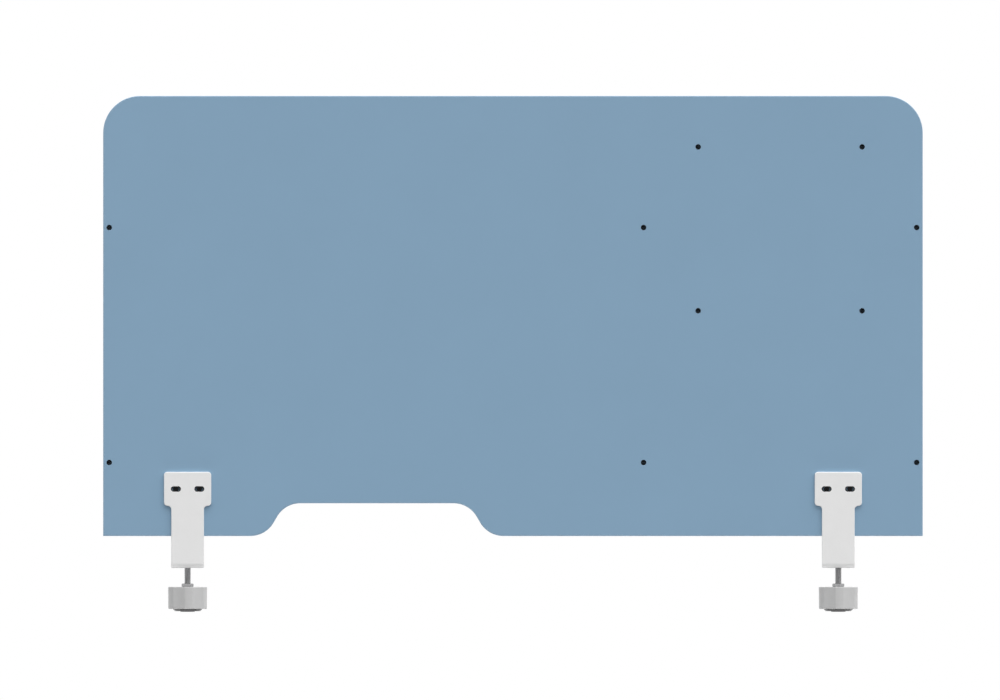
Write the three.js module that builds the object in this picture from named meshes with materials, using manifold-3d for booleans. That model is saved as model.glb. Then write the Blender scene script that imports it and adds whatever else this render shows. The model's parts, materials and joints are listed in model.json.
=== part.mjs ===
// Desk privacy panel with two screw clamps, in millimetres, +Z up.
// The origin is the middle of the panel's bottom edge, which rests on the desk top (z = 0).
// -Y is the outer face, which carries the clamp brackets. The desk lies towards +Y.

import * as THREE from 'three';
import { mergeVertices } from 'three/addons/utils/BufferGeometryUtils.js';
import Module from 'manifold-3d';

const wasm = await Module();
wasm.setup();

// Panel board and its edge banding
const PANEL_WIDTH = 1000;
const PANEL_HEIGHT = 537;
const PANEL_THICKNESS = 18;
const CORNER_RADIUS = 45;
const BAND_THICKNESS = 1;
const GLUE_LINE = 0.05;
const CORNER_LIP = 1;
const OUTER_FACE_Y = -PANEL_THICKNESS / 2;

// Cable cut-out in the bottom edge: a flat top joined to the edge by two S-curves
const NOTCH_CENTRE_X = -166;
const NOTCH_HALF_WIDTH = 154.5;
const NOTCH_HEIGHT = 40;
const NOTCH_RADIUS = 33;
const NOTCH_SLOPE = Math.PI / 3;

// Threaded inserts, flush with the outer face
const INSERT_RADIUS = 3.2;
const INSERT_LENGTH = 12;
const INSERT_BORE_RADIUS = 2.1;
const INSERT_CLEARANCE = 0.1;
const EDGE_COLUMN_X = 492.6;
const BAY_CENTRE_X = 326;
const SQUARE_PITCH = 200;
const SQUARE_CENTRE_Z = 374.8;
const COLUMN_LOW_Z = 89.7;
const COLUMN_HIGH_Z = 376.4;

// Clamp bracket: a T-shaped steel plate bent to a flange under the desk
const BRACKET_X = 397;
const PLATE_THICKNESS = 4;
const HEAD_WIDTH = 57.7;
const HEAD_TOP_Z = 78.2;
const HEAD_BOTTOM_Z = 36.7;
const HEAD_CORNER_RADIUS = 4;
const NECK_WIDTH = 40;
const FLANGE_BOTTOM_Z = -39;
const FLANGE_END_Y = 35;
const FLANGE_CORNER_RADIUS = 6;
const BEND_RADIUS = 2;
const SPINDLE_Y = 15;
const FLANGE_HOLE_RADIUS = 4.4;

// Bracket screws, each sunk in a stepped slot that lets the bracket shift sideways
const SLOT_SPACING = 28.6;
const SLOT_Z = 57.4;
const SLOT_LENGTH = 12.2;
const SLOT_WIDTH = 6.7;
const SLOT_DEPTH = 2.4;
const THROUGH_SLOT_LENGTH = 9.5;
const THROUGH_SLOT_WIDTH = 4.4;
const SCREW_HEAD_RADIUS = 3.1;
const SCREW_HEAD_HEIGHT = 2.2;
const SCREW_SHANK_RADIUS = 1.95;
const SCREW_SHANK_LENGTH = 12;
const SCREW_SOCKET_RADIUS = 1.45;
const SCREW_SOCKET_DEPTH = 1.4;

// Hexagon nuts for the M8 spindle: 13 mm across flats
const NUT_CORNER_RADIUS = 13 / Math.sqrt(3);
const NUT_BORE_RADIUS = 4.1;
const THIN_NUT_HEIGHT = 4;
const FULL_NUT_HEIGHT = 6.5;
const LOCK_NUT_TURN = THREE.MathUtils.degToRad(-13.5);

// Heights of the pieces on the spindle's axis, at the clamp's widest opening
const PAD_GAP = 0.3;
const JAW_NUT_TOP_Z = FLANGE_BOTTOM_Z + PLATE_THICKNESS + THIN_NUT_HEIGHT;
const PAD_BOTTOM_Z = JAW_NUT_TOP_Z + PAD_GAP;
const LOCK_NUT_BOTTOM_Z = -62;
const KNOB_BOTTOM_Z = -89;

// Swivel pad: a steel cup held by the spindle's button end, with a rubber facing
const CUP_RADIUS = 17;
const CUP_LIP = 1;
const CUP_FLOOR = 3.4;
const CUP_HEIGHT = 4.8;
const CUP_RIM = 1.2;
const CUP_HOLE_RADIUS = 2.8;
const CUP_POCKET_RADIUS = 3.9;
const RUBBER_THICKNESS = 2.6;
const RUBBER_CLEARANCE = 0.1;

// Spindle, with a button end above a shoulder
const SPINDLE_RADIUS = 3.9;
const SPINDLE_END_Z = -80;
const NECK_RADIUS = 2.5;
const BUTTON_RADIUS = 3.6;
const BUTTON_HEIGHT = 2;
const SHOULDER_CHAMFER = 0.7;

// Knob: a tapered drum with wide, shallow scallops, its pocket closed by a cap
const KNOB_TOP_RADIUS = 25;
const KNOB_BOTTOM_RADIUS = 24.5;
const KNOB_TOP_EDGE = 0.8;
const KNOB_BOTTOM_EDGE = 1.8;
const KNOB_HOLE_RADIUS = 4.2;
const KNOB_WEB = 10;
const KNOB_POCKET_RADIUS = 14;
const SCALLOP_COUNT = 6;
const SCALLOP_RADIUS = 45;
const SCALLOP_DEPTH = 2.2;
const SCALLOP_START = THREE.MathUtils.degToRad(-117);
const CAP_RADIUS = 17.9;
const CAP_TAPER = 2.3;
const CAP_DISC_HEIGHT = 2.7;
const CAP_BOSS_RADIUS = 9;
const CAP_BOSS_HEIGHT = 0.8;
const CAP_PLUG_RADIUS = 13.7;
const CAP_PLUG_HEIGHT = 4;

// How finely round surfaces are faceted
const ROUND_SEGMENTS = 24;
const SMALL_SEGMENTS = 16;
const KNOB_SEGMENTS = 48;
const SCALLOP_SEGMENTS = 96;
const PANEL_CURVE_SEGMENTS = 12;
const SMALL_CURVE_SEGMENTS = 6;

// How far a cutting shape runs past what it cuts
const OVERRUN = 5;

// Maps a shape drawn in (x, z) and extruded towards +z onto (x, z) extruded towards -Y,
// and maps a lathe's own axis onto +Z.
const STAND_UP = new THREE.Matrix4().set(1, 0, 0, 0, 0, 0, -1, 0, 0, 1, 0, 0, 0, 0, 0, 1);

// Maps a shape drawn in (y, z) and extruded towards +z onto (y, z) extruded towards +X.
const TURN_TO_X = new THREE.Matrix4().set(0, 0, 1, 0, 1, 0, 0, 0, 0, 1, 0, 0, 0, 0, 0, 1);

const MATERIALS = {
  board: material(0x819fb7, 0.55, 0),
  band: material(0x7f9db5, 0.5, 0),
  blackSteel: material(0x17181a, 0.45, 0.6),
  coatedSteel: material(0xdedede, 0.4, 0.1),
  zincSteel: material(0x9a9b9d, 0.35, 0.9),
  greyPlastic: material(0xb8b8b8, 0.5, 0),
  blackPlastic: material(0x222324, 0.25, 0),
  rubber: material(0x1c1c1c, 0.85, 0),
};

function material(color, roughness, metalness) {
  return new THREE.MeshStandardMaterial({ color, roughness, metalness });
}

function toSolid(geometry) {
  const bare = geometry.clone();
  bare.deleteAttribute('normal');
  bare.deleteAttribute('uv');
  const merged = mergeVertices(bare, 1e-5);
  const vertProperties = new Float32Array(merged.attributes.position.array);
  const triVerts = new Uint32Array(merged.index.array);
  return new wasm.Manifold(new wasm.Mesh({ numProp: 3, vertProperties, triVerts }));
}

function toGeometry(solid) {
  const { vertProperties, triVerts } = solid.getMesh();
  const geometry = new THREE.BufferGeometry();
  geometry.setAttribute('position', new THREE.BufferAttribute(new Float32Array(vertProperties), 3));
  geometry.setIndex(new THREE.BufferAttribute(new Uint32Array(triVerts), 1));
  geometry.computeVertexNormals();
  return geometry;
}

function extrude(shape, depth, curveSegments = SMALL_CURVE_SEGMENTS) {
  return new THREE.ExtrudeGeometry(shape, { depth, bevelEnabled: false, curveSegments });
}

// A shape in (x, z), made solid between two values of y
function frontPrism(shape, lowY, highY, curveSegments) {
  const geometry = extrude(shape, highY - lowY, curveSegments);
  return toSolid(geometry.applyMatrix4(STAND_UP).translate(0, highY, 0));
}

function box(lowX, highX, lowY, highY, lowZ, highZ) {
  const geometry = new THREE.BoxGeometry(highX - lowX, highY - lowY, highZ - lowZ);
  geometry.translate((lowX + highX) / 2, (lowY + highY) / 2, (lowZ + highZ) / 2);
  return toSolid(geometry);
}

// A round piece about the Z axis, from [radius, z] points
function turnedAboutZ(points, segments = ROUND_SEGMENTS) {
  const profile = points.map(([radius, z]) => new THREE.Vector2(radius, z));
  return new THREE.LatheGeometry(profile, segments).applyMatrix4(STAND_UP);
}

// A round piece about the Y axis, from [radius, y] points
function turnedAboutY(points, segments = SMALL_SEGMENTS) {
  const profile = points.map(([radius, y]) => new THREE.Vector2(radius, y));
  return new THREE.LatheGeometry(profile, segments);
}

// One S-curve of the cut-out, rising (side -1) or falling (side 1) along the outline
function addNotchSide(shape, side, inset) {
  const convex = NOTCH_RADIUS - inset;
  const concave = NOTCH_RADIUS + inset;
  const straight = (NOTCH_HEIGHT - 2 * NOTCH_RADIUS * (1 - Math.cos(NOTCH_SLOPE))) / Math.sin(NOTCH_SLOPE);
  const run = 2 * NOTCH_RADIUS * Math.sin(NOTCH_SLOPE) + straight * Math.cos(NOTCH_SLOPE);
  const outerX = NOTCH_CENTRE_X + side * NOTCH_HALF_WIDTH;
  const innerX = outerX - side * run;
  const down = -Math.PI / 2;
  const up = Math.PI / 2;
  if (side < 0) {
    shape.absarc(outerX, NOTCH_RADIUS, convex, down, down + NOTCH_SLOPE, false);
    shape.absarc(innerX, NOTCH_HEIGHT - NOTCH_RADIUS, concave, up + NOTCH_SLOPE, up, true);
  } else {
    shape.absarc(innerX, NOTCH_HEIGHT - NOTCH_RADIUS, concave, up, up - NOTCH_SLOPE, true);
    shape.absarc(outerX, NOTCH_RADIUS, convex, down - NOTCH_SLOPE, down, false);
  }
}

// The panel's front outline, moved inwards by inset, as a solid between two values of y
function panelSolid(inset, lowY, highY) {
  const side = PANEL_WIDTH / 2 - inset;
  const arcX = PANEL_WIDTH / 2 - CORNER_RADIUS;
  const arcZ = PANEL_HEIGHT - CORNER_RADIUS;
  const radius = CORNER_RADIUS - inset;
  const shape = new THREE.Shape();
  shape.moveTo(-side, inset);
  shape.lineTo(NOTCH_CENTRE_X - NOTCH_HALF_WIDTH, inset);
  addNotchSide(shape, -1, inset);
  addNotchSide(shape, 1, inset);
  shape.lineTo(side, inset);
  shape.absarc(arcX, arcZ, radius, 0, Math.PI / 2, false);
  shape.absarc(-arcX, arcZ, radius, Math.PI / 2, Math.PI, false);
  return frontPrism(shape, lowY, highY, PANEL_CURVE_SEGMENTS);
}

// [name, x, z] of each accessory insert: three columns of two, and a square of four
function accessoryInserts() {
  const innerColumnX = 2 * BAY_CENTRE_X - EDGE_COLUMN_X;
  const places = [];
  for (const [column, x] of [['left', -EDGE_COLUMN_X], ['middle', innerColumnX], ['right', EDGE_COLUMN_X]]) {
    places.push([`insert_${column}_column_low`, x, COLUMN_LOW_Z]);
    places.push([`insert_${column}_column_high`, x, COLUMN_HIGH_Z]);
  }
  for (const [column, sideX] of [['left', -1], ['right', 1]]) {
    const x = BAY_CENTRE_X + sideX * SQUARE_PITCH / 2;
    places.push([`insert_square_low_${column}`, x, SQUARE_CENTRE_Z - SQUARE_PITCH / 2]);
    places.push([`insert_square_high_${column}`, x, SQUARE_CENTRE_Z + SQUARE_PITCH / 2]);
  }
  return places;
}

// [name, x, z] of each bracket screw and the insert that it threads into
function bracketFixings() {
  const places = [];
  for (const [clamp, clampX] of [['left', -BRACKET_X], ['right', BRACKET_X]]) {
    for (const [fixing, sideX] of [['a', -1], ['b', 1]]) {
      places.push([`${clamp}_${fixing}`, clampX + sideX * SLOT_SPACING / 2, SLOT_Z]);
    }
  }
  return places;
}

function makeBoard() {
  const radius = INSERT_RADIUS + INSERT_CLEARANCE;
  const depth = INSERT_LENGTH + INSERT_CLEARANCE;
  let solid = panelSolid(BAND_THICKNESS + GLUE_LINE, OUTER_FACE_Y, -OUTER_FACE_Y);
  for (const [, x, z] of [...accessoryInserts(), ...bracketFixings()]) {
    const hole = new THREE.CylinderGeometry(radius, radius, depth + OVERRUN, SMALL_SEGMENTS);
    hole.translate(x, OUTER_FACE_Y + (depth - OVERRUN) / 2, z);
    solid = solid.subtract(toSolid(hole));
  }
  return toGeometry(solid);
}

// The edge banding goes on in four strips: the two straight feet, the cut-out, and the rim,
// which turns both bottom corners with a short lip
function makeBands() {
  const core = panelSolid(BAND_THICKNESS, OUTER_FACE_Y - OVERRUN, OVERRUN - OUTER_FACE_Y);
  const whole = panelSolid(0, OUTER_FACE_Y, -OUTER_FACE_Y).subtract(core);
  const reachY = PANEL_THICKNESS;
  const sideX = PANEL_WIDTH / 2 - BAND_THICKNESS - CORNER_LIP;
  const notchLeftX = NOTCH_CENTRE_X - NOTCH_HALF_WIDTH;
  const notchRightX = NOTCH_CENTRE_X + NOTCH_HALF_WIDTH;
  const aboveNotchZ = NOTCH_HEIGHT + BAND_THICKNESS + OVERRUN;
  const strip = (lowX, highX) => whole.intersect(box(lowX, highX, -reachY, reachY, -OVERRUN, aboveNotchZ));
  return {
    edge_band_foot_left: strip(-sideX, notchLeftX),
    edge_band_arch: strip(notchLeftX, notchRightX),
    edge_band_foot_right: strip(notchRightX, sideX),
    edge_band_rim: whole.subtract(box(-sideX, sideX, -reachY, reachY, -OVERRUN, aboveNotchZ)),
  };
}

// A threaded insert along +Y from the outer face
function makeInsert() {
  return turnedAboutY([
    [INSERT_BORE_RADIUS, 0],
    [INSERT_RADIUS, 0],
    [INSERT_RADIUS, INSERT_LENGTH],
    [INSERT_BORE_RADIUS, INSERT_LENGTH],
    [INSERT_BORE_RADIUS, 0],
  ]);
}

// A small socket-head screw along +Y, with the head's bearing face at y = 0
function makeScrew() {
  const edge = 0.3;
  const body = turnedAboutY([
    [0, -SCREW_HEAD_HEIGHT],
    [SCREW_HEAD_RADIUS - edge, -SCREW_HEAD_HEIGHT],
    [SCREW_HEAD_RADIUS, edge - SCREW_HEAD_HEIGHT],
    [SCREW_HEAD_RADIUS, 0],
    [SCREW_SHANK_RADIUS, 0],
    [SCREW_SHANK_RADIUS, SCREW_SHANK_LENGTH - edge],
    [SCREW_SHANK_RADIUS - edge, SCREW_SHANK_LENGTH],
    [0, SCREW_SHANK_LENGTH],
  ]);
  const height = SCREW_SOCKET_DEPTH + OVERRUN;
  const socket = new THREE.CylinderGeometry(SCREW_SOCKET_RADIUS, SCREW_SOCKET_RADIUS, height, 6);
  socket.translate(0, SCREW_SOCKET_DEPTH - SCREW_HEAD_HEIGHT - height / 2, 0);
  return toGeometry(toSolid(body).subtract(toSolid(socket)));
}

function slotShape(length, width, x, z) {
  const radius = width / 2;
  const reach = length / 2 - radius;
  const shape = new THREE.Shape();
  shape.absarc(x - reach, z, radius, Math.PI / 2, Math.PI * 3 / 2, false);
  shape.absarc(x + reach, z, radius, -Math.PI / 2, Math.PI / 2, false);
  return shape;
}

// The T seen from the front: head, S-shaped shoulders and neck
function bracketFront() {
  const head = HEAD_WIDTH / 2;
  const neck = NECK_WIDTH / 2;
  const shoulder = (head - neck) / 2;
  const bottom = FLANGE_BOTTOM_Z - OVERRUN;
  const cornerX = head - HEAD_CORNER_RADIUS;
  const cornerZ = HEAD_TOP_Z - HEAD_CORNER_RADIUS;
  const shape = new THREE.Shape();
  shape.moveTo(-neck, bottom);
  shape.lineTo(neck, bottom);
  shape.absarc(head - shoulder, HEAD_BOTTOM_Z - shoulder, shoulder, Math.PI, Math.PI / 2, true);
  shape.absarc(head - shoulder, HEAD_BOTTOM_Z + shoulder, shoulder, -Math.PI / 2, 0, false);
  shape.absarc(cornerX, cornerZ, HEAD_CORNER_RADIUS, 0, Math.PI / 2, false);
  shape.absarc(-cornerX, cornerZ, HEAD_CORNER_RADIUS, Math.PI / 2, Math.PI, false);
  shape.absarc(shoulder - head, HEAD_BOTTOM_Z + shoulder, shoulder, Math.PI, Math.PI * 3 / 2, false);
  shape.absarc(shoulder - head, HEAD_BOTTOM_Z - shoulder, shoulder, Math.PI / 2, 0, true);
  return shape;
}

// The bent plate seen from the side, in (y, z)
function bracketSide() {
  const outer = OUTER_FACE_Y - PLATE_THICKNESS;
  const bendOuter = BEND_RADIUS + PLATE_THICKNESS;
  const bendY = OUTER_FACE_Y + BEND_RADIUS;
  const bendZ = FLANGE_BOTTOM_Z + bendOuter;
  const shape = new THREE.Shape();
  shape.moveTo(outer, HEAD_TOP_Z + OVERRUN);
  shape.lineTo(outer, bendZ);
  shape.absarc(bendY, bendZ, bendOuter, Math.PI, Math.PI * 3 / 2, false);
  shape.lineTo(FLANGE_END_Y, FLANGE_BOTTOM_Z);
  shape.lineTo(FLANGE_END_Y, FLANGE_BOTTOM_Z + PLATE_THICKNESS);
  shape.absarc(bendY, bendZ, BEND_RADIUS, Math.PI * 3 / 2, Math.PI, true);
  shape.lineTo(OUTER_FACE_Y, HEAD_TOP_Z + OVERRUN);
  return shape;
}

// The bracket seen from above, in (x, y): it only rounds the flange's free corners
function bracketPlan() {
  const head = HEAD_WIDTH / 2 + OVERRUN;
  const cornerX = NECK_WIDTH / 2 - FLANGE_CORNER_RADIUS;
  const cornerY = FLANGE_END_Y - FLANGE_CORNER_RADIUS;
  const back = OUTER_FACE_Y - PLATE_THICKNESS - OVERRUN;
  const shape = new THREE.Shape();
  shape.moveTo(-head, back);
  shape.lineTo(head, back);
  shape.lineTo(head, 0);
  shape.lineTo(NECK_WIDTH / 2, 0);
  shape.absarc(cornerX, cornerY, FLANGE_CORNER_RADIUS, 0, Math.PI / 2, false);
  shape.absarc(-cornerX, cornerY, FLANGE_CORNER_RADIUS, Math.PI / 2, Math.PI, false);
  shape.lineTo(-NECK_WIDTH / 2, 0);
  shape.lineTo(-head, 0);
  return shape;
}

function makeBracket() {
  const outer = OUTER_FACE_Y - PLATE_THICKNESS;
  const width = HEAD_WIDTH + 2 * OVERRUN;
  const lowZ = FLANGE_BOTTOM_Z - OVERRUN;
  const side = extrude(bracketSide(), width).applyMatrix4(TURN_TO_X).translate(-width / 2, 0, 0);
  const plan = extrude(bracketPlan(), HEAD_TOP_Z + OVERRUN - lowZ).translate(0, 0, lowZ);
  const front = frontPrism(bracketFront(), outer - OVERRUN, FLANGE_END_Y + OVERRUN);
  let solid = toSolid(side).intersect(front).intersect(toSolid(plan));
  for (const sideX of [-1, 1]) {
    const x = sideX * SLOT_SPACING / 2;
    const recess = slotShape(SLOT_LENGTH, SLOT_WIDTH, x, SLOT_Z);
    const through = slotShape(THROUGH_SLOT_LENGTH, THROUGH_SLOT_WIDTH, x, SLOT_Z);
    solid = solid.subtract(frontPrism(recess, outer - OVERRUN, outer + SLOT_DEPTH));
    solid = solid.subtract(frontPrism(through, outer - OVERRUN, OUTER_FACE_Y + OVERRUN));
  }
  const hole = turnedAboutZ([
    [0, lowZ],
    [FLANGE_HOLE_RADIUS, lowZ],
    [FLANGE_HOLE_RADIUS, 0],
    [0, 0],
  ]);
  hole.translate(0, SPINDLE_Y, 0);
  return toGeometry(solid.subtract(toSolid(hole)));
}

// A hexagon nut standing on z = 0
function makeNut(height, turn) {
  const shape = new THREE.Shape();
  for (let corner = 0; corner < 6; corner += 1) {
    const angle = turn + corner * Math.PI / 3;
    const point = [NUT_CORNER_RADIUS * Math.cos(angle), NUT_CORNER_RADIUS * Math.sin(angle)];
    if (corner === 0) {
      shape.moveTo(...point);
    } else {
      shape.lineTo(...point);
    }
  }
  const bore = new THREE.Path();
  bore.absarc(0, 0, NUT_BORE_RADIUS, 0, Math.PI * 2, true);
  shape.holes.push(bore);
  return extrude(shape, height, ROUND_SEGMENTS / 2);
}

function makePadCup() {
  const floor = PAD_BOTTOM_Z + CUP_FLOOR;
  const lip = PAD_BOTTOM_Z + CUP_LIP;
  const rim = PAD_BOTTOM_Z + CUP_HEIGHT;
  const edge = 0.8;
  return turnedAboutZ([
    [CUP_HOLE_RADIUS, PAD_BOTTOM_Z],
    [CUP_RADIUS - edge, PAD_BOTTOM_Z],
    [CUP_RADIUS, PAD_BOTTOM_Z + edge],
    [CUP_RADIUS, rim],
    [CUP_RADIUS - CUP_RIM, rim],
    [CUP_RADIUS - CUP_RIM, floor],
    [CUP_POCKET_RADIUS, floor],
    [CUP_POCKET_RADIUS, lip],
    [CUP_HOLE_RADIUS, lip],
    [CUP_HOLE_RADIUS, PAD_BOTTOM_Z],
  ]);
}

function makePadRubber() {
  const bottom = PAD_BOTTOM_Z + CUP_FLOOR;
  const top = bottom + RUBBER_THICKNESS;
  const radius = CUP_RADIUS - CUP_RIM - RUBBER_CLEARANCE;
  const edge = 0.5;
  return turnedAboutZ([
    [0, bottom],
    [radius, bottom],
    [radius, top - edge],
    [radius - edge, top],
    [0, top],
  ]);
}

function makeSpindle() {
  const shoulder = PAD_BOTTOM_Z - PAD_GAP;
  const buttonBottom = PAD_BOTTOM_Z + CUP_LIP + 0.2;
  const buttonTop = buttonBottom + BUTTON_HEIGHT;
  return turnedAboutZ([
    [0, SPINDLE_END_Z],
    [SPINDLE_RADIUS - SHOULDER_CHAMFER, SPINDLE_END_Z],
    [SPINDLE_RADIUS, SPINDLE_END_Z + SHOULDER_CHAMFER],
    [SPINDLE_RADIUS, shoulder],
    [NECK_RADIUS, shoulder],
    [NECK_RADIUS, buttonBottom],
    [BUTTON_RADIUS, buttonBottom],
    [BUTTON_RADIUS, buttonTop - BUTTON_HEIGHT / 2],
    [BUTTON_RADIUS - BUTTON_HEIGHT / 2, buttonTop],
    [0, buttonTop],
  ]);
}

function makeKnob() {
  const top = LOCK_NUT_BOTTOM_Z;
  const web = top - KNOB_WEB;
  const drum = turnedAboutZ([
    [KNOB_POCKET_RADIUS, KNOB_BOTTOM_Z],
    [KNOB_BOTTOM_RADIUS - KNOB_BOTTOM_EDGE, KNOB_BOTTOM_Z],
    [KNOB_BOTTOM_RADIUS - KNOB_BOTTOM_EDGE * 0.3, KNOB_BOTTOM_Z + KNOB_BOTTOM_EDGE * 0.3],
    [KNOB_BOTTOM_RADIUS, KNOB_BOTTOM_Z + KNOB_BOTTOM_EDGE],
    [KNOB_TOP_RADIUS, top - KNOB_TOP_EDGE],
    [KNOB_TOP_RADIUS - KNOB_TOP_EDGE, top],
    [KNOB_HOLE_RADIUS, top],
    [KNOB_HOLE_RADIUS, web],
    [KNOB_POCKET_RADIUS, web],
    [KNOB_POCKET_RADIUS, KNOB_BOTTOM_Z],
  ], KNOB_SEGMENTS);
  let solid = toSolid(drum);
  const centre = KNOB_TOP_RADIUS + SCALLOP_RADIUS - SCALLOP_DEPTH;
  for (let index = 0; index < SCALLOP_COUNT; index += 1) {
    const angle = SCALLOP_START + index * Math.PI * 2 / SCALLOP_COUNT;
    const scallop = turnedAboutZ([
      [0, KNOB_BOTTOM_Z - OVERRUN],
      [SCALLOP_RADIUS, KNOB_BOTTOM_Z - OVERRUN],
      [SCALLOP_RADIUS, top + OVERRUN],
      [0, top + OVERRUN],
    ], SCALLOP_SEGMENTS);
    scallop.translate(centre * Math.cos(angle), centre * Math.sin(angle), 0);
    solid = solid.subtract(toSolid(scallop));
  }
  return toGeometry(solid);
}

function makeKnobCap() {
  const disc = KNOB_BOTTOM_Z - CAP_DISC_HEIGHT;
  const boss = disc - CAP_BOSS_HEIGHT;
  return turnedAboutZ([
    [0, boss],
    [CAP_BOSS_RADIUS, boss],
    [CAP_BOSS_RADIUS, disc],
    [CAP_RADIUS - CAP_TAPER, disc],
    [CAP_RADIUS, KNOB_BOTTOM_Z - CAP_DISC_HEIGHT / 4],
    [CAP_RADIUS, KNOB_BOTTOM_Z],
    [CAP_PLUG_RADIUS, KNOB_BOTTOM_Z],
    [CAP_PLUG_RADIUS, KNOB_BOTTOM_Z + CAP_PLUG_HEIGHT],
    [0, KNOB_BOTTOM_Z + CAP_PLUG_HEIGHT],
  ]);
}

function addPiece(parent, name, geometry, look, x = 0, y = 0, z = 0) {
  const mesh = new THREE.Mesh(geometry, look.clone());
  mesh.name = name;
  mesh.position.set(x, y, z);
  parent.add(mesh);
}

function makePanel() {
  const panel = new THREE.Group();
  addPiece(panel, 'panel_board', makeBoard(), MATERIALS.board);
  for (const [name, solid] of Object.entries(makeBands())) {
    addPiece(panel, name, toGeometry(solid), MATERIALS.band);
  }
  for (const [name, x, z] of accessoryInserts()) {
    addPiece(panel, name, makeInsert(), MATERIALS.blackSteel, x, OUTER_FACE_Y, z);
  }
  const bearingY = OUTER_FACE_Y - PLATE_THICKNESS + SLOT_DEPTH;
  for (const [name, x, z] of bracketFixings()) {
    addPiece(panel, `bracket_insert_${name}`, makeInsert(), MATERIALS.zincSteel, x, OUTER_FACE_Y, z);
    addPiece(panel, `bracket_screw_${name}`, makeScrew(), MATERIALS.blackSteel, x, bearingY, z);
  }
  return panel;
}

function makeClamp(side) {
  const clamp = new THREE.Group();
  addPiece(clamp, `bracket_${side}`, makeBracket(), MATERIALS.coatedSteel);
  const shaft = new THREE.Group();
  const jawNutZ = FLANGE_BOTTOM_Z + PLATE_THICKNESS;
  const knobNutZ = LOCK_NUT_BOTTOM_Z - KNOB_WEB - FULL_NUT_HEIGHT;
  addPiece(shaft, `jaw_nut_${side}`, makeNut(THIN_NUT_HEIGHT, 0), MATERIALS.zincSteel, 0, 0, jawNutZ);
  addPiece(shaft, `pad_cup_${side}`, makePadCup(), MATERIALS.zincSteel);
  addPiece(shaft, `pad_rubber_${side}`, makePadRubber(), MATERIALS.rubber);
  addPiece(shaft, `spindle_${side}`, makeSpindle(), MATERIALS.zincSteel);
  addPiece(
    shaft, `lock_nut_${side}`, makeNut(THIN_NUT_HEIGHT, LOCK_NUT_TURN), MATERIALS.zincSteel, 0, 0, LOCK_NUT_BOTTOM_Z,
  );
  addPiece(shaft, `knob_${side}`, makeKnob(), MATERIALS.greyPlastic);
  addPiece(shaft, `knob_nut_${side}`, makeNut(FULL_NUT_HEIGHT, 0), MATERIALS.zincSteel, 0, 0, knobNutZ);
  addPiece(shaft, `knob_cap_${side}`, makeKnobCap(), MATERIALS.blackPlastic);
  shaft.position.y = SPINDLE_Y;
  clamp.add(shaft);
  return clamp;
}

const model = new THREE.Group();
model.add(makePanel());
for (const [side, x] of [['left', -BRACKET_X], ['right', BRACKET_X]]) {
  const clamp = makeClamp(side);
  clamp.position.x = x;
  model.add(clamp);
}

export default model;
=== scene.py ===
import json
import math

import bmesh
import bpy
from mathutils import Matrix, Vector


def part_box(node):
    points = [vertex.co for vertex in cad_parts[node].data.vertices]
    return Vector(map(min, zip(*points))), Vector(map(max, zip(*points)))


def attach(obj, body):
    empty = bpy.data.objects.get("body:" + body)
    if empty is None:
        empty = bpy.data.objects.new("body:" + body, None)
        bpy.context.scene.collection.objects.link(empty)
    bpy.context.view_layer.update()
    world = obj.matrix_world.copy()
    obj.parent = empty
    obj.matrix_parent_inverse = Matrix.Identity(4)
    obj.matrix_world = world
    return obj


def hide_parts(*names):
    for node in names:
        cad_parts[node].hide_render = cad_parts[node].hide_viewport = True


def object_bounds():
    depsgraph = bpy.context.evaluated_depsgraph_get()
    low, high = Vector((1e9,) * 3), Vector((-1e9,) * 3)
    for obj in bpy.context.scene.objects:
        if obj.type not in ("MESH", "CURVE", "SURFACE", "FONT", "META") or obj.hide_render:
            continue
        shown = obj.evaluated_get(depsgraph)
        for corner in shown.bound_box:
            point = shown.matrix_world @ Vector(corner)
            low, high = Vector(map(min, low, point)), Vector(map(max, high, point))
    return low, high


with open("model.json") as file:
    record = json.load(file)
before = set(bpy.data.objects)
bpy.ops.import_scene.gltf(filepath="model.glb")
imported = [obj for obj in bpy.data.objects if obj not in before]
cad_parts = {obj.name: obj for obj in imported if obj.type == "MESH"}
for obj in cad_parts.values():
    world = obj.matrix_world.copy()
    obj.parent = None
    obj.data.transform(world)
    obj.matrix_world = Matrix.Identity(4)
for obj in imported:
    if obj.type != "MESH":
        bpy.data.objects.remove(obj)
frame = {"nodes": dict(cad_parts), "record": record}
cad_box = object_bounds()

# Shapes are drawn in millimetres in the frame's axes, and scaled to metres when they become objects.
MM = 0.001
NODES = sorted(frame["nodes"])
SIDES = ("left", "right")


def box_mm(node):
    low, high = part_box(node)
    return low / MM, high / MM


def middle_mm(node):
    low, high = box_mm(node)
    return (low + high) / 2


# The panel, from the frame, with the shape of its outline
PANEL_LOW, PANEL_HIGH = box_mm("edge_band_rim")
ARCH_LOW, ARCH_HIGH = box_mm("edge_band_arch")
FACE_Y = PANEL_LOW.y
BACK_Y = PANEL_HIGH.y
NOTCH_HEIGHT = 40
BAND = ARCH_HIGH.z - NOTCH_HEIGHT
CORNER_RADIUS = 45
NOTCH_RADIUS = 33
NOTCH_SLOPE = math.pi / 3
BAND_EDGE_RADIUS = 0.8
BAND_SEAM = 0.03
BOARD_EDGE = 0.15

# Threaded inserts
INSERT_RADIUS = 3.2
INSERT_HOLE_RADIUS = 3.3
INSERT_LENGTH = 12
INSERT_HOLE_LENGTH = 12.1
INSERT_CHAMFER = 0.3
INSERT_SEGMENTS = 40
INSERT_MAJOR, INSERT_MINOR, INSERT_PITCH = 2.5, 2.1, 0.8
INSERT_THREAD_LENGTH = 8

# Threads, as shares of the pitch
THREAD_FLANK = 0.36
THREAD_CREST = 0.12

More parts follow.
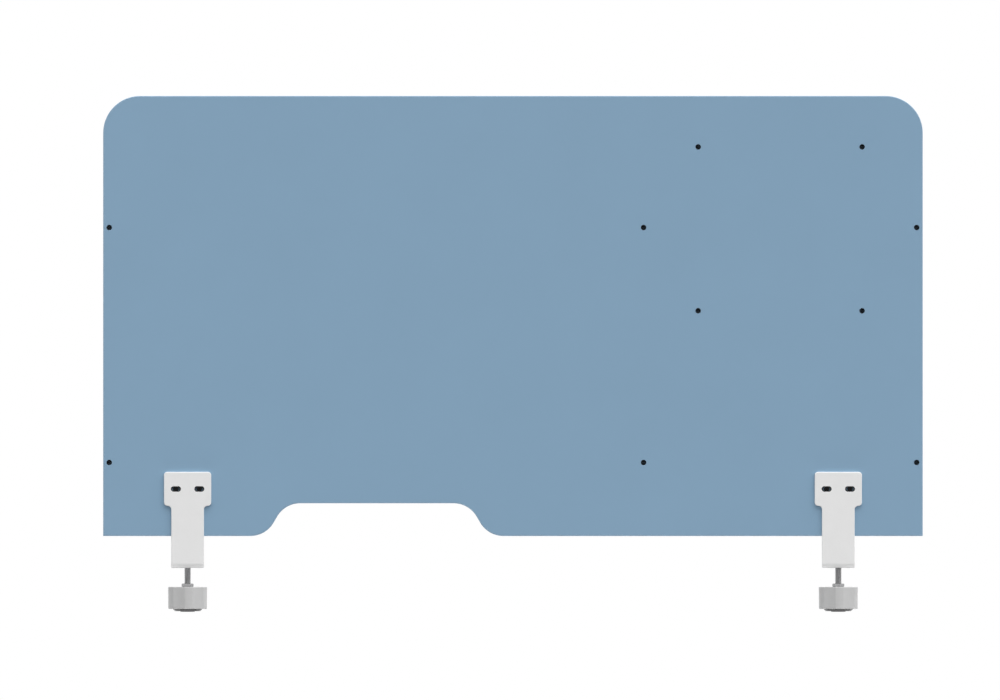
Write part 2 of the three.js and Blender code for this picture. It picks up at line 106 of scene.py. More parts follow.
# Bracket sheet
PLATE = 4
HEAD_HALF_WIDTH = 28.85
HEAD_TOP = 78.2
HEAD_BOTTOM = 36.7
HEAD_CORNER_RADIUS = 4
NECK_HALF_WIDTH = 20
SHOULDER_RADIUS = 4.4
FLANGE_CORNER_RADIUS = 6
BEND_INNER_RADIUS = 2
BEND_STEPS = 12
FRONT_EDGE_RADIUS = 1.0
BACK_EDGE_RADIUS = 0.4
SLOT_HALF_SPACING = 14.3
SLOT_Z = 57.4
SLOT_SIZE = (12.2, 6.7)
THROUGH_SLOT_SIZE = (9.5, 4.4)
SLOT_DEPTH = 2.4
SLOT_EDGE_RADIUS = 0.15
FLANGE_HOLE_RADIUS = 4.4
FLANGE_HOLE_CHAMFER = 0.4

# Hardware
SCREW_HEAD_RADIUS, SCREW_HEAD_HEIGHT = 3.1, 2.2
SCREW_SHANK_RADIUS, SCREW_SHANK_LENGTH = 1.95, 12
SCREW_SOCKET_RADIUS, SCREW_SOCKET_DEPTH = 1.45, 1.4
SCREW_SOCKET_CHAMFER = 0.15
SCREW_SEAT_GAP = 0.03
NUT_FLATS = 13
NUT_BORE_RADIUS = 4.05
NUT_CHAMFER_RADIUS = 6.4
NUT_CHAMFER = 0.65
NUT_SINK = 0.5
LOCK_NUT_TURN = math.radians(-13.5)

# Spindle. Its plain shank ends SHANK_SINK below the knob's top, and its thread starts THREAD_SINK below.
M8_MAJOR, M8_MINOR, M8_PITCH = 3.9, 3.45, 1.25
SPINDLE_CHAMFER = 0.7
SHANK_SINK, THREAD_SINK = 2.5, 2
SHOULDER_GAP = 0.3
SPINDLE_NECK_RADIUS = 2.5
BUTTON_RADIUS, BUTTON_HEIGHT = 3.6, 2

# Knob
KNOB_TOP_RADIUS = 25
KNOB_BOTTOM_RADIUS = 24.5
SCALLOP_COUNT = 6
SCALLOP_START = math.radians(-117)
SCALLOP_RADIUS = 45
SCALLOP_DEPTH = 2.2
SCALLOP_SOFTNESS = 0.3
KNOB_COLUMNS = 360
KNOB_HOLE_RADIUS = 4.2
KNOB_POCKET_RADIUS = 14
KNOB_WEB = 10
KNOB_BOTTOM_EDGE, KNOB_TOP_EDGE = 1.2, 0.9

# Cap and pad
CAP_BOSS_RADIUS, CAP_BOSS_HEIGHT = 9, 0.8
CAP_TAPER = 2.3
CAP_WALL = 0.65
CAP_PLUG_RADIUS = 13.7
CUP_HOLE_RADIUS, CUP_SEAT_RADIUS = 2.8, 3.9
CUP_LIP, CUP_FLOOR, CUP_WALL = 1, 3.4, 1.2
CUP_BOTTOM_EDGE = 1.4
GROOVE_SPACING, GROOVE_DEPTH = 3.5, 0.35
GROOVE_TOP, GROOVE_BOTTOM = 0.5, 0.3

# Round pieces that reach their axis start this far from it.
AXIS_RADIUS = 0.05
SCREW_AXIS_RADIUS = 0.01

# A length too small to see
TINY = 0.01

# Camera, in metres
VIEW_WIDTH = 1.2202
VIEW_CENTRE = (-0.0158, 0.227)
VIEW_DISTANCE = 3.0

# Floor, in metres
FLOOR_GAP = 0.12
FLOOR_SIZE = 80

# Light. Each ramp is the stretch of a direction's Y or Z over which the room's light changes.
ROOM_ABOVE, ROOM_BELOW, ROOM_BEHIND, ROOM_UNDER = 0.905, 0.03, 0.3, 7.0
ABOVE_RAMP = (-0.15, 0.05)
BEHIND_RAMP = (0.1, 0.6)
UNDER_RAMP = (-1.0, -0.88)
KEY_STRENGTH = 3.8
KEY_WIDTH = math.radians(90)
KEY_ELEVATION = math.radians(70)
KEY_AZIMUTH = math.radians(60)

# Colours, linear
FLOOR_GREY = (0.52, 0.52, 0.52)
PANEL_BLUE = (0.211, 0.347, 0.484)
COAT_WHITE = (0.795, 0.795, 0.795)
KNOB_GREY = (0.525, 0.525, 0.525)
BLACK = (0.04, 0.04, 0.041)
OXIDE = (0.006, 0.006, 0.007)
# Painted shade: the dark colour given to the walls and ledges of the bracket's slots
SLOT_SHADE_DARK = (0.04, 0.041, 0.043)
ZINC = (0.4, 0.4, 0.405)
RUBBER = (0.016, 0.016, 0.016)
EDGE_TINT = (0.6, 0.6, 0.6, 1)

# How much finer a grain is along each axis
EVEN = (1, 1, 1)
RINGED = (1, 1, 12)


# Outlines and solids ---------------------------------------------------------------------------

def filleted(corners, inset=0.0, closed=True, step=math.radians(9)):
    """An anticlockwise outline of (x, y, radius) corners, rounded, with its sides moved inwards by inset."""
    points = []
    last = len(corners) - 1
    for index, (x, y, radius) in enumerate(corners):
        here = Vector((x, y))
        before = (here - Vector(corners[index - 1][:2])).normalized()
        after = (Vector(corners[(index + 1) % len(corners)][:2]) - here).normalized()
        if not closed and index == 0:
            before = after
        if not closed and index == last:
            after = before
        normal_before = Vector((-before.y, before.x))
        normal_after = Vector((-after.y, after.x))
        corner = here + (normal_before + normal_after) * inset / (1 + normal_before.dot(normal_after))
        turn = math.atan2(before.x * after.y - before.y * after.x, before.dot(after))
        if radius == 0 or abs(turn) < 1e-6:
            points.append(corner)
            continue
        side = math.copysign(1, turn)
        arc_radius = max(radius - side * inset, 0)
        start = corner - before * arc_radius * math.tan(abs(turn) / 2)
        centre = start + normal_before * side * arc_radius
        steps = max(2, math.ceil(abs(turn) / step))
        for count in range(steps + 1):
            spoke = Matrix.Rotation(turn * count / steps, 2) @ (start - centre)
            points.append(centre + spoke)
    return points


def loft(bm, rings, closed=False, caps=True):
    """Skins rings of points. Each ring closes on itself, and closed joins the last ring to the first."""
    rows = [[bm.verts.new(point) for point in ring] for ring in rings]
    pairs = list(zip(rows, rows[1:]))
    if closed:
        pairs.append((rows[-1], rows[0]))
    for row, following in pairs:
        for index, vert in enumerate(row):
            after = (index + 1) % len(row)
            bm.faces.new((vert, row[after], following[after], following[index]))
    if caps and not closed:
        bm.faces.new(list(reversed(rows[0])))
        bm.faces.new(rows[-1])
    return rows


def round_rings(profile, segments=64, reshape=None):
    """Rings about Z through (radius, z) points. reshape(radius, z, angle) may give another radius."""
    rings = []
    for radius, z in profile:
        ring = []
        for index in range(segments):
            angle = math.tau * index / segments
            reach = reshape(radius, z, angle) if reshape else radius
            ring.append(Vector((reach * math.cos(angle), reach * math.sin(angle), z)))
        rings.append(ring)
    return rings


def shaped(corners, closed=False, step=math.radians(12)):
    """(radius, z) points of a profile given by (radius, z, rounding) corners."""
    return [(point.x, point.y) for point in filleted(corners, closed=closed, step=step)]


def turned(profile, segments=64, closed=False, reshape=None, place=Matrix.Identity(4)):
    """A bmesh of a round piece about Z, moved by place."""
    bm = bmesh.new()
    loft(bm, round_rings(profile, segments, reshape), closed)
    bm.transform(place)
    return bm


def object_from(bm, name="scratch"):
    mesh = bpy.data.meshes.new(name)
    bmesh.ops.recalc_face_normals(bm, faces=bm.faces)
    bm.to_mesh(mesh)
    bm.free()
    piece = bpy.data.objects.new(name, mesh)
    bpy.context.scene.collection.objects.link(piece)
    return piece


def cut(bm, cutter, operation="DIFFERENCE"):
    """Cuts one bmesh with another, and returns the result as a new bmesh."""
    body = object_from(bm)
    tool = object_from(cutter)
    modifier = body.modifiers.new("cut", "BOOLEAN")
    modifier.operation = operation
    modifier.solver = "EXACT"
    modifier.object = tool
    evaluated = body.evaluated_get(bpy.context.evaluated_depsgraph_get())
    result = bmesh.new()
    result.from_mesh(evaluated.to_mesh())
    evaluated.to_mesh_clear()
    for spent in (body, tool):
        mesh = spent.data
        bpy.data.objects.remove(spent)
        bpy.data.meshes.remove(mesh)
    return result


def piece_from(bm, node, *materials, sharp=math.radians(35)):
    """Makes the visible piece that stands for a CAD node, with its edges sharp above an angle."""
    bmesh.ops.remove_doubles(bm, verts=bm.verts, dist=1e-4)
    bmesh.ops.dissolve_degenerate(bm, edges=bm.edges, dist=1e-4)
    bmesh.ops.recalc_face_normals(bm, faces=bm.faces)
    for face in bm.faces:
        face.smooth = True
    for edge in bm.edges:
        edge.smooth = len(edge.link_faces) == 2 and edge.calc_face_angle() < sharp
    bm.transform(Matrix.Scale(MM, 4))
    piece = object_from(bm, f"{node}_piece")
    for material in materials:
        piece.data.materials.append(material)
    weighted = piece.modifiers.new("normals", "WEIGHTED_NORMAL")
    weighted.keep_sharp = True
    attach(piece, BODY_OF[node])
    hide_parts(node)
    return piece


BODY_OF = {n: body for body, members in frame["record"]["behaviour"]["bodies"].items() for n in members}


# Materials --------------------------------------------------------------------------------------

def add_node(tree, kind, **values):
    """A node with its named inputs, or its own settings, filled in."""
    node = tree.nodes.new(kind)
    for key, value in values.items():
        if key in node.inputs:
            node.inputs[key].default_value = value
        else:
            setattr(node, key, value)
    return node


def noise(tree, where, scale, detail, stretch=EVEN):
    """Noise in the object's own coordinates, with scale in waves per metre."""
    mapping = add_node(tree, "ShaderNodeMapping")
    mapping.inputs["Scale"].default_value = stretch
    tree.links.new(where, mapping.inputs["Vector"])
    texture = add_node(tree, "ShaderNodeTexNoise", Scale=scale, Detail=detail, Roughness=0.55)
    tree.links.new(mapping.outputs["Vector"], texture.inputs["Vector"])
    return texture.outputs["Fac"]


def ranged(tree, value, low, high, start=0.3, end=0.7):
    spread = add_node(tree, "ShaderNodeMapRange")
    spread.inputs["From Min"].default_value = start
    spread.inputs["From Max"].default_value = end
    spread.inputs["To Min"].default_value = low
    spread.inputs["To Max"].default_value = high
    tree.links.new(value, spread.inputs["Value"])
    return spread.outputs["Result"]


# A mix node's colour sockets share their names with its other kinds, so they are found by number.
MIX_DARKER, MIX_LIGHTER, MIX_RESULT = 6, 7, 2


def tinted(tree, amount, colour, contrast):
    """A colour that goes contrast darker to contrast lighter as amount goes from 0 to 1."""
    mix = add_node(tree, "ShaderNodeMix", data_type="RGBA")
    for socket, factor in ((MIX_DARKER, 1 - contrast), (MIX_LIGHTER, 1 + contrast)):
        mix.inputs[socket].default_value = (*(channel * factor for channel in colour), 1)
    tree.links.new(amount, mix.inputs[0])
    return mix.outputs[MIX_RESULT]


def bumped(tree, layers):
    """A chain of bumps from (height, distance in millimetres, strength) layers."""
    normal = None
    for height, distance, strength in layers:
        bump = add_node(tree, "ShaderNodeBump", Strength=strength, Distance=distance * MM)
        tree.links.new(height, bump.inputs["Height"])
        if normal:
            tree.links.new(normal, bump.inputs["Normal"])
        normal = bump.outputs["Normal"]
    return normal


def make_material(name, colour, roughness, contrast, patches, grain=(), metallic=0.0, **shader_values):
    """A principled material with patchy colour and roughness, patches waves to the metre.

    Its bump comes from the (waves per metre, depth in millimetres, strength, stretch) layers of grain.
    """
    material = bpy.data.materials.new(name)
    material.use_nodes = True
    tree = material.node_tree
    shader = tree.nodes["Principled BSDF"]
    shader.inputs["Metallic"].default_value = metallic
    for key, value in shader_values.items():
        shader.inputs[key.replace("_", " ")].default_value = value
    where = add_node(tree, "ShaderNodeTexCoord").outputs["Object"]
    patchy = noise(tree, where, patches, 5.0)
    tree.links.new(tinted(tree, ranged(tree, patchy, 0, 1), colour, contrast), shader.inputs["Base Color"])
    tree.links.new(ranged(tree, patchy, roughness[1], roughness[0]), shader.inputs["Roughness"])
    layers = []
    for scale, depth, strength, stretch in grain:
        layers.append((noise(tree, where, scale, 2.0, stretch), depth, strength))
    normal = bumped(tree, layers)
    if normal:
        tree.links.new(normal, shader.inputs["Normal"])
    return material


MATERIALS = {
    "board": make_material(
        "melamine_blue_grey", PANEL_BLUE, (0.45, 0.47), contrast=0.012, patches=9.0,
        grain=[(900.0, 0.04, 0.6, EVEN), (3200.0, 0.03, 0.6, EVEN)],
    ),
    "edge_band": make_material(
        "abs_edge_blue_grey", PANEL_BLUE, (0.36, 0.44), contrast=0.02, patches=30.0,
        grain=[(1500.0, 0.02, 0.3, EVEN)],
    ),
    "coated_steel": make_material(
        "powder_coat_white", COAT_WHITE, (0.34, 0.44), contrast=0.012, patches=60.0,
        grain=[(650.0, 0.12, 0.7, EVEN), (2400.0, 0.03, 0.6, EVEN)], Coat_Weight=0.25, Coat_Roughness=0.2,
    ),
    # Painted shade: dark walls and ledges in the bracket's slots, in place of the white coat
    "slot_painted_shade": make_material(
        "slot_walls_painted_shade", SLOT_SHADE_DARK, (0.5, 0.65), contrast=0.15, patches=400.0,
        grain=[(3000.0, 0.02, 0.4, EVEN)],
    ),
    "black_steel": make_material(
        "black_oxide", OXIDE, (0.42, 0.56), contrast=0.25, patches=500.0,
        grain=[(4000.0, 0.01, 0.4, EVEN)], Specular_IOR_Level=0.12,
    ),
    "zinc_steel": make_material(
        "zinc_plate", ZINC, (0.24, 0.36), metallic=1.0, contrast=0.08, patches=350.0,
        grain=[(2200.0, 0.01, 0.3, EVEN), (5000.0, 0.006, 0.25, RINGED)], Specular_Tint=EDGE_TINT,
    ),
    "knob_plastic": make_material(
        "moulded_grey", KNOB_GREY, (0.38, 0.5), contrast=0.02, patches=120.0,
        grain=[(1500.0, 0.06, 0.7, EVEN), (4200.0, 0.02, 0.6, EVEN)],
    ),
    "cap_plastic": make_material(
        "moulded_black_gloss", BLACK, (0.12, 0.2), contrast=0.12, patches=200.0,
        grain=[(500.0, 0.01, 0.15, EVEN)], Coat_Weight=0.4, Coat_Roughness=0.08,
    ),
    "rubber": make_material(
        "rubber_black", RUBBER, (0.66, 0.82), contrast=0.2, patches=300.0,
        grain=[(1800.0, 0.08, 0.8, EVEN)],
    ),
}


# The panel --------------------------------------------------------------------------------------

def notch_corners():
    """The cut-out's four corners, left to right: out of the foot, onto the flat top, and down again."""
    lead = NOTCH_RADIUS * math.tan(NOTCH_SLOPE / 2)
    slant = NOTCH_HEIGHT / math.tan(NOTCH_SLOPE)
    left, right = ARCH_LOW.x + lead, ARCH_HIGH.x - lead
    bottom, top = PANEL_LOW.z, PANEL_LOW.z + NOTCH_HEIGHT
    places = ((left, bottom), (left + slant, top), (right - slant, top), (right, bottom))
    return [(x, z, NOTCH_RADIUS) for x, z in places]


def insert_places():
    return [node for node in NODES if node.startswith(("insert_", "bracket_insert_"))]


def along_y(node):
    """Places a piece drawn about Z, from z = 0, along +Y from the panel's face at an insert's centre."""
    centre = middle_mm(node)
    return Matrix.Translation((centre.x, FACE_Y, centre.z)) @ Matrix.Rotation(-math.pi / 2, 4, "X")


def make_board():
    left, right, bottom, top = PANEL_LOW.x, PANEL_HIGH.x, PANEL_LOW.z, PANEL_HIGH.z
    corners = [(left, bottom, 0), *notch_corners(), (right, bottom, 0)]
    corners += [(right, top, CORNER_RADIUS), (left, top, CORNER_RADIUS)]
    side = BAND + BAND_SEAM
    sections = [(side + BOARD_EDGE, FACE_Y), (side, FACE_Y + BOARD_EDGE)]
    sections += [(side, BACK_Y - BOARD_EDGE), (side + BOARD_EDGE, BACK_Y)]
    rings = []
    for inset, y in sections:
        rings.append([(x, y, z) for x, z in filleted(corners, inset, step=math.radians(3))])
    board = bmesh.new()
    loft(board, rings)
    holes = bmesh.new()
    mouth = INSERT_HOLE_RADIUS + BOARD_EDGE
    profile = [(mouth, -1), (mouth, 0), (INSERT_HOLE_RADIUS, BOARD_EDGE)]
    profile.append((INSERT_HOLE_RADIUS, INSERT_HOLE_LENGTH))
    for node in insert_places():
        place = along_y(node)
        loft(holes, [[place @ point for point in ring] for ring in round_rings(profile, 48)])
    piece_from(cut(board, holes), "panel_board", MATERIALS["board"])


def make_band(node, path):
    """Edge banding along an open path, with its two long outer edges rounded."""
    section = [(BAND, FACE_Y, 0), (0, FACE_Y, BAND_EDGE_RADIUS)]
    section += [(0, BACK_Y, BAND_EDGE_RADIUS), (BAND, BACK_Y, 0)]
    rows = []
    for inset, y in filleted(section, step=math.radians(18)):
        rows.append([(x, y, z) for x, z in filleted(path, inset, closed=False, step=math.radians(3))])
    rings = [list(ring) for ring in zip(*rows)]
    band = bmesh.new()
    loft(band, rings)
    piece_from(band, node, MATERIALS["edge_band"])


def make_bands():
    left, right, bottom, top = PANEL_LOW.x, PANEL_HIGH.x, PANEL_LOW.z, PANEL_HIGH.z
    foot_left, foot_right = box_mm("edge_band_foot_left")[0].x, box_mm("edge_band_foot_right")[1].x
    make_band("edge_band_foot_left", [(foot_left, bottom, 0), (ARCH_LOW.x, bottom, 0)])
    make_band("edge_band_foot_right", [(ARCH_HIGH.x, bottom, 0), (foot_right, bottom, 0)])
    make_band("edge_band_arch", [(ARCH_LOW.x, bottom, 0), *notch_corners(), (ARCH_HIGH.x, bottom, 0)])
    rim = [(foot_right, bottom, 0), (right, bottom, 0), (right, top, CORNER_RADIUS)]
    rim += [(left, top, CORNER_RADIUS), (left, bottom, 0), (foot_left, bottom, 0)]
    make_band("edge_band_rim", rim)


# Threads and hardware -----------------------------------------------------------------------------

def thread_height(phase):
    """A thread's profile over one pitch, from 0 at the root to 1 at the crest."""
    distance = abs(phase - math.floor(phase) - 0.5)
    return min(1, max(0, 1 - (distance - THREAD_CREST / 2) / THREAD_FLANK))


def thread_rings(low, high, minor, major, pitch, segments, rows_per_pitch=14, run_out=0.8):
    """Rings about Z of a right-hand thread from low to high, with both ends run out to the minor radius."""
    count = math.ceil((high - low) / pitch * rows_per_pitch)
    rings = []
    for row in range(count + 1):
        z = low + (high - low) * row / count
        fade = min(1, (z - low) / run_out, (high - z) / run_out)
        ring = []
        for index in range(segments):
            angle = math.tau * index / segments
            lift = thread_height(z / pitch - index / segments) * fade
            radius = minor + (major - minor) * lift
            ring.append(Vector((radius * math.cos(angle), radius * math.sin(angle), z)))
        rings.append(ring)
    return rings


def make_insert(node, material):
    """A flush insert: a chamfered sleeve with a thread cut inside its mouth."""
    chamfer = INSERT_CHAMFER
    threads = (INSERT_MAJOR, INSERT_MINOR, INSERT_PITCH)
    bore = thread_rings(chamfer * 2, INSERT_THREAD_LENGTH, *threads, INSERT_SEGMENTS, rows_per_pitch=12)
    outside = [(INSERT_MAJOR, INSERT_LENGTH), (INSERT_RADIUS - chamfer, INSERT_LENGTH)]
    outside += [(INSERT_RADIUS, INSERT_LENGTH - chamfer), (INSERT_RADIUS, chamfer / 2)]
    outside += [(INSERT_RADIUS - chamfer / 2, 0), (INSERT_MAJOR + chamfer, 0), (INSERT_MAJOR, chamfer)]
    insert = bmesh.new()
    loft(insert, bore + round_rings(outside, INSERT_SEGMENTS), closed=True)
    insert.transform(along_y(node))
    piece_from(insert, node, material)


def make_screw(node):
    """A small socket-head screw, its head sunk in the bracket's slot."""
    head_z = -SCREW_HEAD_HEIGHT
    corners = [(SCREW_AXIS_RADIUS, head_z, 0), (SCREW_HEAD_RADIUS, head_z, 0.4), (SCREW_HEAD_RADIUS, 0, 0.1)]
    corners += [(SCREW_SHANK_RADIUS, 0, 0.1), (SCREW_SHANK_RADIUS, SCREW_SHANK_LENGTH, 0.4)]
    corners.append((SCREW_AXIS_RADIUS, SCREW_SHANK_LENGTH, 0))
    screw = turned(shaped(corners, step=math.radians(15)), 48)
    mouth = SCREW_SOCKET_RADIUS + SCREW_SOCKET_CHAMFER
    socket = turned([
        (mouth, head_z - 1), (mouth, head_z), (SCREW_SOCKET_RADIUS, head_z + SCREW_SOCKET_CHAMFER),
        (SCREW_SOCKET_RADIUS, head_z + SCREW_SOCKET_DEPTH),
    ], 6)
    screw = cut(screw, socket)
    centre = middle_mm(node)
    seat = box_mm(node)[0].y + SCREW_HEAD_HEIGHT - SCREW_SEAT_GAP
    screw.transform(Matrix.Translation((centre.x, seat, centre.z)) @ Matrix.Rotation(-math.pi / 2, 4, "X"))
    piece_from(screw, node, MATERIALS["black_steel"])


def make_nut(node, turn=0.0):
    """A hexagon nut with chamfered corners and a countersunk bore."""
    low, high = box_mm(node)
    centre = middle_mm(node)
    corner_radius = NUT_FLATS / math.sqrt(3)
    outside, mouth = corner_radius + 0.1, NUT_BORE_RADIUS + NUT_SINK
    profile = [
        (mouth, low.z), (NUT_CHAMFER_RADIUS, low.z), (outside, low.z + NUT_CHAMFER),
        (outside, high.z - NUT_CHAMFER), (NUT_CHAMFER_RADIUS, high.z), (mouth, high.z),
        (NUT_BORE_RADIUS, high.z - NUT_SINK), (NUT_BORE_RADIUS, low.z + NUT_SINK),
    ]
    body = turned(profile, 72, closed=True)
    prism = turned([(corner_radius, low.z - 1), (corner_radius, high.z + 1)], 6)
    prism.transform(Matrix.Rotation(turn, 4, "Z"))
    nut = cut(body, prism, "INTERSECT")
    nut.transform(Matrix.Translation((centre.x, centre.y, 0)))
    piece_from(nut, node, MATERIALS["zinc_steel"], sharp=math.radians(25))


def make_spindle(side):
    """The M8 screw: threaded from inside the knob to its shoulder, with a button end in the pad."""
    node = f"spindle_{side}"
    low, high = box_mm(node)
    centre = middle_mm(node)
    cup_low = box_mm(f"pad_cup_{side}")[0].z
    knob_top = box_mm(f"knob_{side}")[1].z
    shoulder = cup_low - SHOULDER_GAP
    plain = [(AXIS_RADIUS, low.z), (M8_MAJOR - SPINDLE_CHAMFER, low.z)]
    plain += [(M8_MAJOR, low.z + SPINDLE_CHAMFER), (M8_MAJOR, knob_top - SHANK_SINK)]
    button = high.z - BUTTON_HEIGHT
    neck = [(M8_MINOR, shoulder), (SPINDLE_NECK_RADIUS, shoulder), (SPINDLE_NECK_RADIUS, button)]
    neck += [(BUTTON_RADIUS - 0.3, button), (BUTTON_RADIUS, button + 0.3), (BUTTON_RADIUS, high.z - 1)]
    neck += [(BUTTON_RADIUS - 0.3, high.z - 0.4), (BUTTON_RADIUS - 1, high.z), (AXIS_RADIUS, high.z)]
    threads = thread_rings(knob_top - THREAD_SINK, shoulder - 0.2, M8_MINOR, M8_MAJOR, M8_PITCH, 48)
    spindle = bmesh.new()
    loft(spindle, round_rings(plain, 48) + threads + round_rings(neck, 48))
    spindle.transform(Matrix.Translation((centre.x, centre.y, 0)))
    piece_from(spindle, node, MATERIALS["zinc_steel"], sharp=math.radians(50))


# Bracket -------------------------------------------------------------------------------------------

def sheet_ring(corners, inset, depth):
    """An outline of the flat sheet at a depth behind its front face, before it is bent."""
    return [(x, FACE_Y - PLATE + depth, z) for x, z in filleted(corners, inset, step=math.radians(9))]


def quarter_round(radius, steps=6):
    """(inset, depth) points of an edge rounded with a radius, from the face to the side."""
    angles = [math.pi / 2 * step / steps for step in range(steps + 1)]
    return [(radius * (1 - math.sin(angle)), radius * (1 - math.cos(angle))) for angle in angles]


def slot_corners(size, x, z):
    """A slot with round ends, as the corners of its outline."""
    half_length, half_width = size[0] / 2, size[1] / 2
    radius = half_width - TINY
    return [
        (x - half_length, z - half_width, radius), (x + half_length, z - half_width, radius),
        (x + half_length, z + half_width, radius), (x - half_length, z + half_width, radius),
    ]


def mark_painted_slot_shade(bm):
    """Gives the slots' walls and ledges the sheet's second material, a dark colour that paints shade into the
    slots.
    """
    for face in bm.faces:
        within = all(
            vert.co.y > FACE_Y - PLATE + SLOT_EDGE_RADIUS - TINY
            and abs(abs(vert.co.x) - SLOT_HALF_SPACING) < SLOT_SIZE[0] / 2 + TINY
            and abs(vert.co.z - SLOT_Z) < SLOT_SIZE[1] / 2 + TINY
            for vert in face.verts
        )
        on_back = all(vert.co.y > FACE_Y - TINY for vert in face.verts)
        face.material_index = int(within and not on_back)


def bend_sheet(bm, bend_z):
    """Bends the flat sheet below bend_z to a flange that runs towards +Y."""
    middle_radius = BEND_INNER_RADIUS + PLATE / 2
    bend_length = middle_radius * math.pi / 2
    for step in range(BEND_STEPS + 1):
        cut_z = bend_z - bend_length * step / BEND_STEPS
        everything = [*bm.verts, *bm.edges, *bm.faces]
        bmesh.ops.bisect_plane(bm, geom=everything, plane_co=(0, 0, cut_z), plane_no=(0, 0, 1), dist=1e-5)
    for vert in bm.verts:
        below = bend_z - vert.co.z
        if below <= 0:
            continue
        radius = BEND_INNER_RADIUS + FACE_Y - vert.co.y
        angle = min(below / middle_radius, math.pi / 2)
        run = max(below - bend_length, 0)
        vert.co.y = FACE_Y + BEND_INNER_RADIUS - radius * math.cos(angle) + run
        vert.co.z = bend_z - radius * math.sin(angle)


def cut_slots(sheet):
    """Cuts two stepped slots: a recess for a screw's head, and a narrower slot through it."""
    mouth = [(-SLOT_EDGE_RADIUS, -1)]
    mouth += [(-inset, depth) for inset, depth in quarter_round(SLOT_EDGE_RADIUS, 4)]
    mouth.append((0, SLOT_DEPTH))
    for x in (-SLOT_HALF_SPACING, SLOT_HALF_SPACING):
        recess = bmesh.new()
        corners = slot_corners(SLOT_SIZE, x, SLOT_Z)
        loft(recess, [sheet_ring(corners, inset, depth) for inset, depth in mouth])
        sheet = cut(sheet, recess)
        through = bmesh.new()
        corners = slot_corners(THROUGH_SLOT_SIZE, x, SLOT_Z)
        loft(through, [sheet_ring(corners, 0, depth) for depth in (SLOT_DEPTH - 1, PLATE + 1)])
        sheet = cut(sheet, through)
    return sheet


def make_bracket(side):
    """A T-shaped sheet with two slots and a hole, drawn flat about x = 0, then bent and put in its place."""
    node = f"bracket_{side}"
    low, high = box_mm(node)
    centre_x = (low.x + high.x) / 2
    spindle_y = middle_mm(f"spindle_{side}").y
    bend_z = low.z + PLATE + BEND_INNER_RADIUS
    bend_end_z = bend_z - (BEND_INNER_RADIUS + PLATE / 2) * math.pi / 2
    bend_end_y = FACE_Y + BEND_INNER_RADIUS
    end_z = bend_end_z - (high.y - bend_end_y)
    head, neck = HEAD_HALF_WIDTH, NECK_HALF_WIDTH
    corners = [
        (-neck, end_z, FLANGE_CORNER_RADIUS), (neck, end_z, FLANGE_CORNER_RADIUS),
        (neck, HEAD_BOTTOM, SHOULDER_RADIUS), (head, HEAD_BOTTOM, SHOULDER_RADIUS),
        (head, HEAD_TOP, HEAD_CORNER_RADIUS), (-head, HEAD_TOP, HEAD_CORNER_RADIUS),
        (-head, HEAD_BOTTOM, SHOULDER_RADIUS), (-neck, HEAD_BOTTOM, SHOULDER_RADIUS),
    ]
    edges = quarter_round(FRONT_EDGE_RADIUS)
    edges += [(inset, PLATE - depth) for inset, depth in reversed(quarter_round(BACK_EDGE_RADIUS, 3))]
    sheet = bmesh.new()
    loft(sheet, [sheet_ring(corners, inset, depth) for inset, depth in edges])
    sheet = cut_slots(sheet)
    hole_z = bend_end_z - (spindle_y - bend_end_y)
    place = Matrix.Translation((0, FACE_Y - PLATE, hole_z)) @ Matrix.Rotation(-math.pi / 2, 4, "X")
    mouth = FLANGE_HOLE_RADIUS + FLANGE_HOLE_CHAMFER
    hole = turned([
        (mouth, -1), (mouth, 0), (FLANGE_HOLE_RADIUS, FLANGE_HOLE_CHAMFER), (FLANGE_HOLE_RADIUS, PLATE + 1),
    ], 48, place=place)
    sheet = cut(sheet, hole)
    mark_painted_slot_shade(sheet)
    bend_sheet(sheet, bend_z)
    sheet.transform(Matrix.Translation((centre_x, 0, 0)))
    # The sheet's second material paints shade on the slots' walls and ledges.
    piece_from(sheet, node, MATERIALS["coated_steel"], MATERIALS["slot_painted_shade"], sharp=math.radians(40))


# Knob, cap and pad -----------------------------------------------------------------------------------

def make_knob(side):
    """A tapered drum whose wide scallops run into it smoothly, with a pocket underneath."""
    node = f"knob_{side}"
    low, high = box_mm(node)
    centre = middle_mm(node)
    web = high.z - KNOB_WEB
    spacing = math.tau / SCALLOP_COUNT
    scallop_centre = KNOB_TOP_RADIUS - SCALLOP_DEPTH + SCALLOP_RADIUS

    def scalloped(radius, z, angle):
        if radius <= KNOB_POCKET_RADIUS + 1:
            return radius
        skin = KNOB_BOTTOM_RADIUS + (KNOB_TOP_RADIUS - KNOB_BOTTOM_RADIUS) * (z - low.z) / (high.z - low.z)
        offset = (angle - SCALLOP_START + spacing / 2) % spacing - spacing / 2
        across = scallop_centre * math.sin(offset)
        hollow = scallop_centre * math.cos(offset) - math.sqrt(SCALLOP_RADIUS ** 2 - across ** 2)
        depth = skin - hollow
        return radius - (depth + math.hypot(depth, SCALLOP_SOFTNESS)) / 2

    corners = [
        (KNOB_HOLE_RADIUS, high.z, 0.3), (KNOB_HOLE_RADIUS, web, 0.3), (KNOB_POCKET_RADIUS, web, 0.5),
        (KNOB_POCKET_RADIUS, low.z, 0.3), (KNOB_BOTTOM_RADIUS, low.z, KNOB_BOTTOM_EDGE),
        (KNOB_TOP_RADIUS, high.z, KNOB_TOP_EDGE),
    ]
    knob = turned(shaped(corners, closed=True), KNOB_COLUMNS, closed=True, reshape=scalloped)
    knob.transform(Matrix.Translation((centre.x, centre.y, 0)))
    piece_from(knob, node, MATERIALS["knob_plastic"], sharp=math.radians(50))


